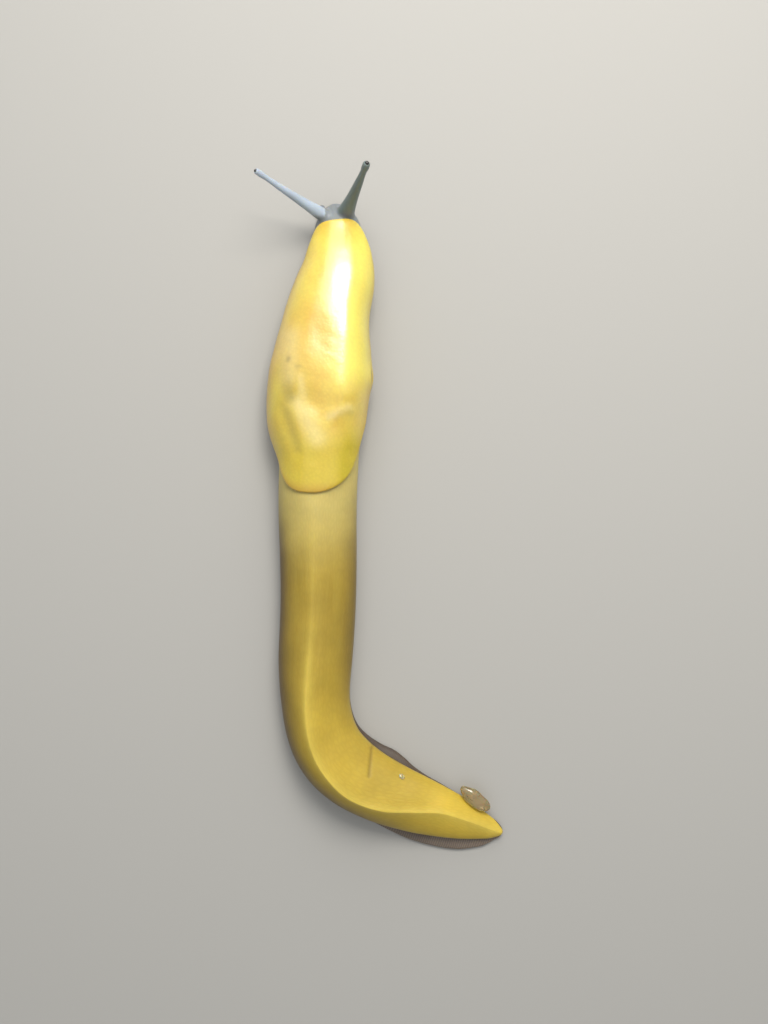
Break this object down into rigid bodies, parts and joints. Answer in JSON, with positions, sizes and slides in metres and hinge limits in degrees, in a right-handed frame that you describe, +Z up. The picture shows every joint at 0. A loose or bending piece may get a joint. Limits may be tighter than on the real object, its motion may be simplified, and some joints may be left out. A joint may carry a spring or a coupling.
{
  "type": "banana slug",
  "caption": "Life-size still banana slug, crawling flat on its sole with long feelers raised and its keeled tail bent to one side.",
  "frame": {"origin": "middle of the model's box, on the plane of the sole", "axes": "+Y to the head, +Z up from the sole, +X to the side the tail bends to"},
  "size_m": [0.0632, 0.173, 0.0274],
  "materials": {
    "mantle": "wet bright yellow skin, finely grained",
    "skin": "wet ochre yellow skin with long low ridges",
    "head_skin": "wet translucent grey-brown skin",
    "foot_skin": "wet brown-grey fringe with fine upright lines",
    "eye": "glossy black",
    "slime": "clear wet slime"
  },
  "bodies": {
    "root": {"mantle": "mantle", "torso_front": "skin", "torso_middle": "skin", "torso_rear": "skin", "torso_bend_upper": "skin", "torso_bend_lower": "skin", "tail": "skin", "tail_tip": "skin", "head": "head_skin", "neck": "head_skin", "upper_tentacle_left": "head_skin", "upper_tentacle_right": "head_skin", "lower_tentacle_left": "head_skin", "lower_tentacle_right": "head_skin", "foot_front": "foot_skin", "foot_middle": "foot_skin", "foot_rear": "foot_skin", "foot_bend": "foot_skin", "foot_tail": "foot_skin", "eye_left": "eye", "eye_right": "eye", "slime_plug": "slime"}
  },
  "joints": []
}
